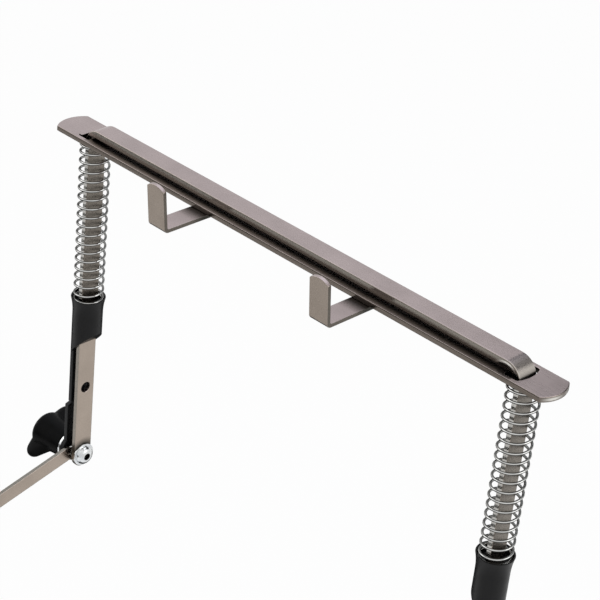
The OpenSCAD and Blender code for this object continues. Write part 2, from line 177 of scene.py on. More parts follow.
def place_mesh(name: str, points: Sequence[Sequence[float]], faces: Sequence[Sequence[int]],
               material: Material) -> Object:
    """Makes an object of points and faces and puts it in the scene.

    Args:
        name: The object's name.
        points: The mesh's points.
        faces: The point numbers of each face.
        material: Its finish.

    Returns:
        The object.
    """
    mesh = bpy.data.meshes.new(name)
    mesh.from_pydata([tuple(point) for point in points], [], faces)
    mesh.materials.append(material)
    piece = bpy.data.objects.new(name, mesh)
    bpy.context.scene.collection.objects.link(piece)
    return piece


class FinishSheet:
    """A material's node tree, with short calls for the nodes that the finishes share.

    Each call gives the socket that carries its result. A mask is a socket that goes from 0 to 1.
    """

    def __init__(self, name: str) -> None:
        """Starts a material with a principled surface.

        Args:
            name: The material's name.
        """
        self.material = bpy.data.materials.new(name)
        self.material.use_nodes = True
        self.tree = self.material.node_tree
        self.tree.nodes.clear()
        self.surface = add_node(self.tree, "ShaderNodeBsdfPrincipled", {})
        add_node(self.tree, "ShaderNodeOutputMaterial", {"Surface": self.surface.outputs["BSDF"]})
        place = add_node(self.tree, "ShaderNodeTexCoord", {})
        self.spot, self.normal = place.outputs["Object"], place.outputs["Normal"]

    def add(self, kind: str, inputs: dict[str | int, Any], out: str | int = 0, **settings: Any) -> Socket:
        """Adds a node.

        Args:
            kind: The node's type name.
            inputs: Each input's name or number, with its value or the socket that feeds it.
            out: The output that carries the result.
            **settings: Properties of the node.

        Returns:
            That output.
        """
        return add_node(self.tree, kind, inputs, **settings).outputs[out]

    def maths(self, how: str, *values: Socket | float, **settings: Any) -> Socket:
        """Adds a math node of the given operation."""
        return self.add("ShaderNodeMath", dict(enumerate(values)), operation=how, **settings)

    def vectors(self, how: str, out: str, *values: Any) -> Socket:
        """Adds a vector math node of the given operation."""
        return self.add("ShaderNodeVectorMath", dict(enumerate(values)), out, operation=how)

    def axes_of(self, source: Socket) -> Any:
        """Splits a vector into outputs named X, Y and Z."""
        return add_node(self.tree, "ShaderNodeSeparateXYZ", {"Vector": source}).outputs

    def coat(self, **inputs: Any) -> None:
        """Sets inputs of the surface, whose names are written with underscores for spaces."""
        fill(self.tree, self.surface, {key.replace("_", " "): value for key, value in inputs.items()})

    def grain(self, size: float, stretch: Sequence[float] = (1, 1, 1), detail: float = 3.0,
              rough: float = 0.55) -> Socket:
        """Adds a noise over the piece's own place.

        Args:
            size: Size of the grain, in metres.
            stretch: Share of that fineness kept along X, Y and Z.
            detail: Layers of finer noise.
            rough: Strength of the finer layers.

        Returns:
            The noise.
        """
        place = self.add("ShaderNodeMapping", {"Vector": self.spot, "Scale": [s / size for s in stretch]})
        return self.add("ShaderNodeTexNoise", {"Vector": place, "Scale": 1.0, "Detail": detail,
                                               "Roughness": rough})

    def level(self, value: Socket, span: Span, to: Span = (0.0, 1.0)) -> Socket:
        """Maps a value from one span to another and holds it at the span's ends.

        Args:
            value: The value.
            span: Values that are stretched out.
            to: Values that they become.

        Returns:
            The mapped value.
        """
        ends = dict(zip(("From Min", "From Max", "To Min", "To Max"), (*span, *to)))
        return self.add("ShaderNodeMapRange", {"Value": value, **ends})

    def tint(self, value: Socket, stops: Sequence[tuple[float, Colour]]) -> Socket:
        """Turns a value into a colour.

        Args:
            value: The value.
            stops: Places on the ramp with their colours.

        Returns:
            The colour.
        """
        ramp = add_node(self.tree, "ShaderNodeValToRGB", {"Fac": value})
        elements = ramp.color_ramp.elements
        while len(elements) < len(stops):
            elements.new(0.5)
        for element, (position, colour) in zip(elements, stops):
            element.position = position
            element.color = (*colour, 1.0)
        return ramp.outputs["Color"]

    def speckle(self, noise: Socket, dark: Colour, light: Colour, ends: Span = MOST) -> Socket:
        """Colours a noise from dark to light between two of its values."""
        return self.tint(noise, ((ends[0], dark), (ends[1], light)))

    def mix(self, share: Socket | float, first: Socket, second: Socket | Colour,
            how: str = "MIX") -> Socket:
        """Mixes two colours.

        Args:
            share: The share of the second colour.
            first: The first colour.
            second: The second colour, or the socket that gives it.
            how: Blend type.

        Returns:
            The mixed colour.
        """
        top = second if isinstance(second, Socket) else (*second, 1.0)
        return self.add("ShaderNodeMix", {0: share, 6: first, 7: top}, 2, data_type="RGBA", blend_type=how)

    def relief(self, *layers: tuple[Socket, float]) -> None:
        """Puts bumps on the surface, each layer on top of the one before.

        Args:
            *layers: Each layer's height and its full depth, in metres.
        """
        below: dict[str, Socket] = {}
        for height, depth in layers:
            inputs = {"Strength": 1.0, "Distance": depth, "Height": height, **below}
            below = {"Normal": self.add("ShaderNodeBump", inputs)}
        self.coat(**below)

    def upward(self, stops: Sequence[tuple[float, Colour]]) -> Socket:
        """Colours the piece by how far its skin faces up.

        Args:
            stops: Colours at places from 0, facing down, to 1, facing up.

        Returns:
            The colour.
        """
        return self.tint(self.level(self.axes_of(self.normal)["Z"], (-1.0, 1.0)), stops)

    def facing(self, shares: Sequence[float], span: Span = TURNED) -> Socket:
        """Adds a mask of the faces that look along given axes of the piece.

        Args:
            shares: How much X, Y and Z count in the face's normal.
            span: Values of the counted square at which the mask starts and is full.

        Returns:
            The mask.
        """
        square = self.vectors("MULTIPLY", "Vector", self.normal, self.normal)
        return self.level(self.vectors("DOT_PRODUCT", "Value", square, shares), span)

    def near_line(self, span: Span, shares: Sequence[float] = (0.0, 1.0, 1.0),
                  point: Sequence[float] = (0.0, 0.0, 0.0)) -> Socket:
        """Adds a mask of what lies near a straight line, by default the pivots' axis.

        Args:
            span: Distance up to which the mask is full and distance at which it ends, in millimetres.
            shares: 0 for the axis that the line runs along, 1 for the others.
            point: A point on the line, in millimetres.

        Returns:
            The mask.
        """
        back = [-(zero + step * MM) * s for zero, step, s in zip(PIVOT, point, shares)]
        away = self.vectors("MULTIPLY_ADD", "Vector", self.spot, shares, back)
        return self.level(self.vectors("LENGTH", "Value", away), (span[0] * MM, span[1] * MM), (1.0, 0.0))

    def along(self, axis: str, span: Span) -> Socket:
        """Adds a mask that grows along an axis of the part.

        Args:
            axis: "X", "Y" or "Z".
            span: Where it starts and where it is full, in millimetres.

        Returns:
            The mask.
        """
        zero = getattr(PIVOT, axis.lower())
        return self.level(self.axes_of(self.spot)[axis], (zero + span[0] * MM, zero + span[1] * MM))

    def band(self, axis: str, spans: tuple[Span, Span]) -> Socket:
        """Adds a mask of a band across an axis, which rises over one span and falls over another."""
        return self.share(*(self.along(axis, span) for span in spans))

    def within(self, box: Box) -> Socket:
        """Adds a mask of what lies in a box.

        Args:
            box: The box's lowest and highest corner, in millimetres.

        Returns:
            The mask.
        """
        spot = self.axes_of(self.spot)
        return self.share(*(
            self.maths("COMPARE", spot[axis], zero + (least + most) / 2 * MM, (most - least) / 2 * MM)
            for axis, least, most, zero in zip("XYZ", *box, PIVOT)))

    def share(self, *masks: Socket | float) -> Socket:
        """Multiplies masks.

        Args:
            *masks: The masks. Those after the first may be plain numbers.

        Returns:
            The product.
        """
        total, *others = masks
        for mask in others:
            total = self.maths("MULTIPLY", total, mask)
        return total

    def rim(self, width: float, span: Span = (0.99, 0.85)) -> Socket:
        """Adds a mask of the piece's edges.

        Args:
            width: How far the mask reaches from an edge, in metres.
            span: Cosines between the rounded and the true normal at which it starts and is full.

        Returns:
            The mask.
        """
        rounded = self.add("ShaderNodeBevel", {"Radius": width}, samples=4)
        true = self.add("ShaderNodeNewGeometry", {}, "Normal")
        return self.level(self.vectors("DOT_PRODUCT", "Value", rounded, true), span)


@dataclass(frozen=True)
class SatinNickel:
    """Satin nickel plate on rolled strip: a fine grain, faint streaks and paler corners, partly worn and
    partly a painted highlight.

    The strip's narrow edges carry painted shade, darker than its faces, and are smoother.
    """

    name: str
    run: Run
    edges: Edges
    dark: Colour = (0.345, 0.291, 0.246)
    light: Colour = (0.425, 0.359, 0.304)
    # Painted light: faces that look up get their own cooler tint, which stands in for cool light from
    # above.
    top_lit_dark: Colour = (0.316, 0.264, 0.262)
    top_lit_light: Colour = (0.390, 0.326, 0.324)
    # Painted shade: the narrow edges are darker, as if they caught less light.
    edge_shade_dark: Colour = (0.150, 0.140, 0.122)
    edge_shade_light: Colour = (0.270, 0.250, 0.222)
    # Partly wear and partly painted highlight: paler patches on the corners, which stand in for the bright
    # lines that edges catch.
    rub_and_sheen: Colour = (0.60, 0.54, 0.49)
    # Painted shade: the near-black laid where shade falls, in the slots, under the crossbar, round the
    # screws, in the bend and under the tabs.
    painted_shade: Colour = (0.020, 0.020, 0.017)
    # Painted highlight: the pale colour of the glints that are painted on.
    painted_glint: Colour = (0.80, 0.78, 0.73)
    streak_size: float = 0.45 * MM
    streak_share: float = 0.55
    streak_depth: float = 0.006 * MM
    cloud_size: float = 14 * MM
    cloud_share: Span = (0.05, 0.40)
    grain_size: float = 0.28 * MM
    grain_depth: float = 0.010 * MM
    tone_ends: Span = (0.22, 0.78)
    top_lit_ends: Span = (0.25, 0.70)
    edge_ends: Span = (0.55, 0.80)
    edge_smoother: float = 0.10
    rough_ends: Span = (0.25, 0.75)
    rough: Span = (0.24, 0.36)
    rub_sheen_width: float = 0.35 * MM
    rub_sheen_ends: Span = (0.35, 0.65)
    rub_sheen_share: Span = (0.25, 0.8)

    def make(self) -> Material:
        """Builds the material.

        Returns:
            The material.
        """
        sheet = FinishSheet(self.name)
        streak = sheet.grain(self.streak_size, self.run.value, detail=4.0, rough=0.6)
        cloud = sheet.grain(self.cloud_size, detail=2.0)
        grain = sheet.grain(self.grain_size, detail=2.0, rough=0.5)
        clouding = sheet.level(cloud, MOST, self.cloud_share)
        tone = sheet.maths("MULTIPLY_ADD", streak, self.streak_share, clouding)
        standing = sheet.speckle(tone, self.dark, self.light, self.tone_ends)
        # Painted light: the faces that look up take the cooler tint.
        top_lit = sheet.speckle(tone, self.top_lit_dark, self.top_lit_light, self.tone_ends)
        colour = sheet.mix(sheet.facing((0.0, 0.0, 1.0), self.top_lit_ends), standing, top_lit)
        narrow = sheet.facing(self.edges.value, self.edge_ends)
        # Painted shade on the narrow edges.
        colour = sheet.mix(narrow, colour, sheet.speckle(streak, self.edge_shade_dark, self.edge_shade_light))
        colour = self.shade(sheet, colour, narrow, streak)
        # Partly wear, partly painted highlight: paler patches along the rounded corners.
        rub_sheen = sheet.share(sheet.rim(self.rub_sheen_width), sheet.level(cloud, self.rub_sheen_ends, self.rub_sheen_share))
        rough = sheet.level(streak, self.rough_ends, self.rough)
        sheet.coat(Base_Color=sheet.mix(rub_sheen, colour, self.rub_and_sheen), Metallic=1.0,
                   Roughness=sheet.maths("MULTIPLY_ADD", narrow, -self.edge_smoother, rough))
        sheet.relief((streak, self.streak_depth), (grain, self.grain_depth))
        return sheet.material

    def shade(self, sheet: FinishSheet, colour: Socket, narrow: Socket, streak: Socket) -> Socket:
        """Adds the shades that one strip alone has. A plain strip has none.

        Args:
            sheet: The material's sheet. Not used here.
            colour: The strip's colour.
            narrow: Mask of its narrow edges. Not used here.
            streak: Its rolling streaks. Not used here.

        Returns:
            The new colour.
        """
        return colour


@dataclass(frozen=True)
class PlateNickel(SatinNickel):
    """The holder plate's nickel, with painted shade in the slots and below the crossbar and a painted
    highlight at its right end.

    Its boxes and spans are in millimetres.
    """

    name: str = "nickel_plate"
    run: Run = Run.ACROSS
    edges: Edges = Edges.ALL_ROUND
    edge_shade_dark: Colour = (0.118, 0.099, 0.085)
    edge_shade_light: Colour = (0.200, 0.170, 0.148)
    rub_and_sheen: Colour = (0.54, 0.47, 0.43)
    # Painted shadow: the dark brown of the plate's top under the crossbar.
    shade_brown: Colour = (0.098, 0.080, 0.066)
    # Painted shade: the narrow walls inside the slots are near-black.
    slots: Box = ((-132.0, -8.5, 100.0), (132.0, 8.5, 200.0))
    # Painted shadow of the crossbar on the plate's top: brown from just behind the front edge back under
    # the crossbar, with a black line under the crossbar's front face.
    top: Box = ((-122.5, -9.0, 170.9), (122.5, 9.0, 200.0))
    shaded_top_back: Span = (-0.8, -2.2)
    shade_brown_front: Span = (-9.6, -7.2)
    shadow_line: tuple[Span, Span] = ((-5.9, -5.3), (-3.9, -4.5))
    shade_share: float = 0.92
    # Painted highlight: a pale glint along the middle of the plate's right end edge.
    glint_y: tuple[Span, Span] = ((-8.8, -5.0), (1.5, -3.0))
    glint_z: tuple[Span, Span] = ((168.9, 169.5), (170.7, 170.0))
    glint_x: Span = (136.0, 138.0)
    glint_share: float = 0.85

    def shade(self, sheet: FinishSheet, colour: Socket, narrow: Socket, streak: Socket) -> Socket:
        """Paints shade on the slots' walls and on the strip below the crossbar, and paints a highlight on
        the right end.

        Args:
            sheet: The material's sheet.
            colour: The plate's colour.
            narrow: Mask of its narrow edges.
            streak: Its rolling streaks. Not used here.

        Returns:
            The new colour.
        """
        # Painted shade on the slots' walls.
        colour = sheet.mix(sheet.share(narrow, sheet.within(self.slots)), colour, self.painted_shade)
        # Painted shadow of the crossbar on the plate's top.
        top = sheet.share(sheet.within(self.top), sheet.along("Y", self.shaded_top_back))
        for tone, place in ((self.shade_brown, sheet.along("Y", self.shade_brown_front)),
                            (self.painted_shade, sheet.band("Y", self.shadow_line))):
            colour = sheet.mix(sheet.share(place, top, self.shade_share), colour, tone)
        # Painted highlight on the right end.
        glint = sheet.share(sheet.band("Y", self.glint_y), sheet.band("Z", self.glint_z),
                            sheet.along("X", self.glint_x), self.glint_share)
        return sheet.mix(glint, colour, self.painted_glint)


@dataclass(frozen=True)
class FrameNickel(SatinNickel):
    """The clamp frame's nickel, with painted shade and pale painted edge highlights in the springs,
    painted shade over the screws, and painted highlight and shade on the right bend.

    Its boxes and spans are in millimetres.
    """

    name: str = "nickel_frame"
    run: Run = Run.NONE
    edges: Edges = Edges.FRONT_AND_BACK
    edge_shade_dark: Colour = (0.175, 0.160, 0.140)
    edge_shade_light: Colour = (0.310, 0.283, 0.247)
    rub_and_sheen: Colour = (0.42, 0.37, 0.34)
    # Painted shade: inside the springs the uprights' faces are darker, and their narrow edges carry a pale
    # painted highlight.
    coil_shade_dark: Colour = (0.110, 0.096, 0.080)
    coil_shade_light: Colour = (0.275, 0.250, 0.220)
    coil_edge_glint: Colour = (0.500, 0.490, 0.465)
    coil_shade_band: tuple[Span, Span] = ((84.0, 90.0), (168.5, 167.5))
    # Painted shade: a dark ring round each screw head, on its upper side.
    screw: Span = (6.0, 9.6)
    screw_shade_over: Span = (0.0, 3.0)
    screw_shade_share: float = 0.90
    # Painted light: the right bend's outer face is coloured by how far it faces up, dark where it faces
    # sideways and pale where it turns up.
    bend_sheen_tones: tuple[tuple[float, Colour], ...] = (
        (0.50, (0.135, 0.125, 0.113)), (0.65, (0.165, 0.152, 0.138)), (0.80, (0.410, 0.380, 0.345)),
        (0.92, (0.500, 0.455, 0.425)), (1.00, (0.350, 0.300, 0.295)))
    bend: Box = ((116.5, -6.0, 168.5), (127.0, 6.0, 176.5))
    bend_sheen_start: Span = (116.5, 119.0)
    # Painted highlight and shade: on the right bend's front edge, a dark band inside the bend and a thin
    # bright line round it.
    bend_edge: Box = ((110.5, -6.0, 170.0), (126.0, -4.0, 177.0))
    glint_line_inside: Span = (6.2, 6.6)
    glint_line_outside: Span = (7.0, 7.4)
    glint_line_start: Span = (111.0, 118.5)
    glint_line_share: float = 0.92

    def shade(self, sheet: FinishSheet, colour: Socket, narrow: Socket, streak: Socket) -> Socket:
        """Paints shade on the uprights inside the springs, with pale highlights on their narrow edges, and
        shade over the screws, and paints highlight and shade on the right bend.

        Args:
            sheet: The material's sheet.
            colour: The frame's colour.
            narrow: Mask of its narrow edges.
            streak: Its rolling streaks.

        Returns:
            The new colour.
        """
        # Painted highlight on the narrow edges inside the springs, then painted shade on their faces.
        inside = sheet.band("Z", self.coil_shade_band)
        colour = sheet.mix(sheet.share(inside, narrow), colour, self.coil_edge_glint)
        colour = sheet.mix(sheet.share(inside, sheet.facing((1.0, 0.0, 0.0))), colour,
                           sheet.speckle(streak, self.coil_shade_dark, self.coil_shade_light))
        # Painted shade round the screw heads.
        over = sheet.along("Z", self.screw_shade_over)
        ring = sheet.share(sheet.near_line(self.screw), over, self.screw_shade_share)
        colour = sheet.mix(ring, colour, self.painted_shade)
        # Painted light on the right bend, by how far it faces up.
        bend = sheet.share(sheet.within(self.bend), sheet.along("X", self.bend_sheen_start),
                           sheet.facing((1.0, 0.0, 1.0)))
        colour = sheet.mix(bend, colour, sheet.upward(self.bend_sheen_tones))
        # Painted shade and a painted highlight line on the right bend's front edge.
        edge = sheet.share(narrow, sheet.within(self.bend_edge))
        shaded_core, wide = (sheet.near_line(span, (1.0, 0.0, 1.0), BEND)
                      for span in (self.glint_line_inside, self.glint_line_outside))
        colour = sheet.mix(sheet.share(edge, shaded_core), colour, self.painted_shade)
        line = sheet.share(edge, sheet.maths("SUBTRACT", wide, shaded_core, use_clamp=True),
                           sheet.along("X", self.glint_line_start), self.glint_line_share)
        return sheet.mix(line, colour, self.painted_glint)


@dataclass(frozen=True)
class TabNickel(SatinNickel):
    """The stop tabs' nickel: a darker copy with painted shade, and a painted shadow at their roots under
    the plate. Its spans are in millimetres.
    """

    name: str = "nickel_tab"
    run: Run = Run.NONE
    edges: Edges = Edges.SIDEWAYS
    # Painted shade: the tabs' faces are a darker copy of the strips' colours.
    dark: Colour = (0.265, 0.224, 0.190)
    light: Colour = (0.330, 0.279, 0.237)
    edge_shade_dark: Colour = (0.085, 0.074, 0.062)
    edge_shade_light: Colour = (0.150, 0.133, 0.114)
    # Painted shadow at the tabs' roots, under the plate.
    root_shadow_y: Span = (-17.0, -11.0)
    root_shadow_z: Span = (169.2, 168.8)
    root_shadow_share: float = 0.88

    def shade(self, sheet: FinishSheet, colour: Socket, narrow: Socket, streak: Socket) -> Socket:
        """Paints a shadow on the tabs' roots under the plate.

        Args:
            sheet: The material's sheet.
            colour: The tabs' colour.
            narrow: Mask of their narrow edges. Not used here.
            streak: Their rolling streaks. Not used here.

        Returns:
            The new colour.
        """
        # Painted shadow at the tabs' roots.
        root = sheet.share(sheet.along("Y", self.root_shadow_y), sheet.along("Z", self.root_shadow_z), self.root_shadow_share)
        return sheet.mix(root, colour, self.painted_shade)


@dataclass(frozen=True)
class LiningShadeNickel(SatinNickel):
    """The slot linings' nickel, painted as dark as the shade inside a slot."""

    name: str = "nickel_shade"
    run: Run = Run.NONE
    edges: Edges = Edges.ALL_ROUND
    dark: Colour = (0.022, 0.018, 0.015)
    light: Colour = (0.050, 0.042, 0.036)
    top_lit_dark: Colour = (0.020, 0.016, 0.014)
    top_lit_light: Colour = (0.044, 0.036, 0.031)
    edge_shade_dark: Colour = (0.022, 0.018, 0.015)
    edge_shade_light: Colour = (0.046, 0.038, 0.032)
    rub_and_sheen: Colour = (0.07, 0.06, 0.05)


@dataclass(frozen=True)
class BrightWire:
    """Bright nickel on drawn spring wire, with fine marks, dull patches and painted dark reflections by
    how the wire faces.

    Each row of the painted reflections is a place from 0, facing down, to 1, facing up, with the share of
    light kept.
    """

    name: str = "spring_wire_bright"
    dark: Colour = (0.58, 0.58, 0.58)
    light: Colour = (0.82, 0.82, 0.81)
    # Painted dark reflections: dark bands below the wire's middle and near its top, by how far the skin
    # faces up.
    facing_shade: tuple[tuple[float, float], ...] = (
        (0.00, 0.60), (0.16, 0.42), (0.30, 0.10), (0.42, 0.14), (0.54, 0.38), (0.66, 0.72), (0.76, 1.0),
        (0.86, 0.60), (0.94, 0.20), (1.00, 0.40))
    facing_shade_blue: float = 0.98
    mark_size: float = 0.5 * MM
    mark_depth: float = 0.003 * MM
    cloud_size: float = 5 * MM
    rough: Span = (0.05, 0.14)
    glance: float = 0.15

    def make(self) -> Material:
        """Builds the material.

        Returns:
            The material.
        """
        sheet = FinishSheet(self.name)
        marks = sheet.grain(self.mark_size, (1.0, 1.0, 4.0), detail=4.0, rough=0.6)
        plate = sheet.speckle(sheet.grain(self.cloud_size, detail=2.0), self.dark, self.light)
        # Painted dark reflections on the wire.
        facing_shade = sheet.upward([(place, (g, g, self.facing_shade_blue * g)) for place, g in self.facing_shade])
        sheet.coat(Base_Color=sheet.mix(1.0, plate, facing_shade, "MULTIPLY"), Metallic=1.0,
                   Roughness=sheet.level(marks, MOST, self.rough),
                   Specular_Tint=(self.glance, self.glance, self.glance, 1.0))
        sheet.relief((marks, self.mark_depth))
        return sheet.material


@dataclass(frozen=True)
class BrightZinc:
    """Bright zinc plate on screws and washers, a little cloudy, with a faint cast and painted shade in the
    sockets.
    """

    name: str
    dark: Colour = (0.56, 0.58, 0.60)
    light: Colour = (0.82, 0.84, 0.85)
    cast: Colour = (0.62, 0.60, 0.52)
    # Painted shade: near-black round the pivots' axis, where the screw's socket is.
    socket_shade: Colour = (0.030, 0.030, 0.030)
    cloud_size: float = 2.2 * MM
    cast_size: float = 6 * MM
    cast_ends: Span = (0.45, 0.7)
    cast_share: float = 0.6
    socket: Span = (1.75, 1.95)
    rough: Span = (0.12, 0.26)
    grain_size: float = 0.22 * MM
    grain_depth: float = 0.006 * MM

    def make(self) -> Material:
        """Builds the material.

        Returns:
            The material.
        """
        sheet = FinishSheet(self.name)
        cloud = sheet.grain(self.cloud_size, detail=3.0)
        plate = sheet.speckle(cloud, self.dark, self.light)
        warm = sheet.speckle(cloud, self.cast, self.light)
        wide = sheet.grain(self.cast_size, detail=1.0)
        share = sheet.level(wide, self.cast_ends, (0.0, self.cast_share))
        # Painted shade in the socket.
        colour = sheet.mix(sheet.near_line(self.socket), sheet.mix(share, plate, warm), self.socket_shade)
        sheet.coat(Base_Color=colour, Metallic=1.0, Roughness=sheet.level(cloud, MOST, self.rough))
        sheet.relief((sheet.grain(self.grain_size, detail=2.0), self.grain_depth))
        return sheet.material


@dataclass(frozen=True)
class BlackMoulding:
    """Satin black moulded plastic: a fine eroded skin, paler where hands have worn the edges."""

    name: str
    skin: Colour = (0.0065, 0.0065, 0.0070)
    worn: Colour = (0.0200, 0.0203, 0.0210)
    gloss: float = 0.18
    wave_light: float = 1.5
    wave_ends: Span = (0.3, 0.8)
    wave_size: float = 3.5 * MM
    wave_depth: float = 0.02 * MM
    pore_size: float = 0.30 * MM
    pore_depth: float = 0.012 * MM
    worn_width: float = 0.5 * MM
    worn_share: float = 0.6
    rough: Span = (0.30, 0.42)

    def make(self) -> Material:
        """Builds the material.

        Returns:
            The material.
        """
        sheet = FinishSheet(self.name)
        pores = sheet.grain(self.pore_size, detail=3.0, rough=0.6)
        wave = sheet.grain(self.wave_size, detail=2.0)
        pale = tuple(self.wave_light * c for c in self.skin)
        body = sheet.speckle(wave, self.skin, pale, self.wave_ends)
        share = sheet.share(sheet.rim(self.worn_width), self.worn_share)
        sheet.coat(Base_Color=sheet.mix(share, body, self.worn), Specular_IOR_Level=self.gloss,
                   Roughness=sheet.level(wave, MOST, self.rough))
        sheet.relief((wave, self.wave_depth), (pores, self.pore_depth))
        return sheet.material


@dataclass(frozen=True)
class Rounding:
    """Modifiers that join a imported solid's faces, round its edges and smooth its curves."""

    radius: float
    segments: int = 2
    corner: float = math.radians(35)
    flat: float = math.radians(0.4)
    smooth: float = math.radians(50)
    weld: float = 0.001 * MM

    def put_on(self, piece: Object) -> None:
        """Adds the modifiers to a piece, whose own mesh stays as it is.

        Args:
            piece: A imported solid.
        """
        weld = piece.modifiers.new("join_faces", "WELD")
        weld.merge_threshold = self.weld
        flat = piece.modifiers.new("merge_flats", "DECIMATE")
        flat.decimate_type = "DISSOLVE"
        flat.angle_limit = self.flat
        bevel = piece.modifiers.new("round_edges", "BEVEL")
        bevel.width = self.radius
        bevel.segments = self.segments
        bevel.limit_method = "ANGLE"
        bevel.angle_limit = self.corner
        bevel.use_clamp_overlap = False
        bevel.miter_outer = "MITER_ARC"
        shading = piece.modifiers.new("smooth_shading", "NODES")
        shading.node_group = self.shader()
        flatten = piece.modifiers.new("keep_flats_flat", "WEIGHTED_NORMAL")
        flatten.weight = 100
        flatten.keep_sharp = True

    def shader(self) -> NodeTree:
        """Builds the node group that shades a piece smooth, apart from its sharp edges.

        Returns:
            The node group.
        """
        name = f"smooth_by_{math.degrees(self.smooth):.0f}"
        if name in bpy.data.node_groups:
            return bpy.data.node_groups[name]
        group, mesh, end = blank_group(name)
        bend = add_node(group, "GeometryNodeInputMeshEdgeAngle", {}).outputs["Unsigned Angle"]
        gentle = add_node(group, "FunctionNodeCompare", {0: bend, 1: self.smooth}, data_type="FLOAT",
                          operation="LESS_EQUAL")
        faces = add_node(group, "GeometryNodeSetShadeSmooth", {"Geometry": mesh})
        edges = add_node(group, "GeometryNodeSetShadeSmooth",
                         {"Geometry": faces.outputs[0], "Shade Smooth": gentle.outputs[0]}, domain="EDGE")
        fill(group, end, {0: edges.outputs[0]})
        return group


@dataclass(frozen=True)
class Melting:
    """Modifiers that trim a faceted moulding and blend its parts into one soft skin."""

    voxel: float
    passes: int
    length: float = 0.944
    girth: float = 1.025
    factor: float = 0.5
    weld: float = 0.001 * MM

    def put_on(self, piece: Object, base: Vector) -> None:
        """Adds the modifiers to a piece, whose own mesh stays as it is.

        Args:
            piece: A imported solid.
            base: The middle of its seat, from which its length and its girth are trimmed.
        """
        weld = piece.modifiers.new("join_faces", "WELD")
        weld.merge_threshold = self.weld
        trim = piece.modifiers.new("trim", "NODES")
        trim.node_group = self.trimmer(piece.name, base)
        skin = piece.modifiers.new("one_skin", "REMESH")
        skin.mode = "VOXEL"
        skin.voxel_size = self.voxel
        skin.use_smooth_shade = True
        soft = piece.modifiers.new("soften", "SMOOTH")
        soft.factor = self.factor
        soft.iterations = self.passes

    def trimmer(self, name: str, base: Vector) -> NodeTree:
        """Builds the node group that trims a moulding's length along X and its girth.

        Args:
            name: The piece's name.
            base: The point that stays where it is.

        Returns:
            The node group.
        """
        group, mesh, end = blank_group(f"trim_{name}")
        scale = (self.length, self.girth, self.girth)
        shift = [b * (1 - s) for b, s in zip(base, scale)]
        moved = {"Geometry": mesh, "Scale": scale, "Translation": shift}
        fill(group, end, {0: add_node(group, "GeometryNodeTransform", moved).outputs[0]})
        return group


def finish_node(name: str, material: Material) -> Object:
    """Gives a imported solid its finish.

    Args:
        name: The solid's node name.
        material: The finish.

    Returns:
        The solid's object.
    """
    piece = bpy.data.objects[name]
    for place in piece.material_slots:
        place.material = material
    LOG.info("%s: packed solid, finish %s", name, material.name)
    return piece


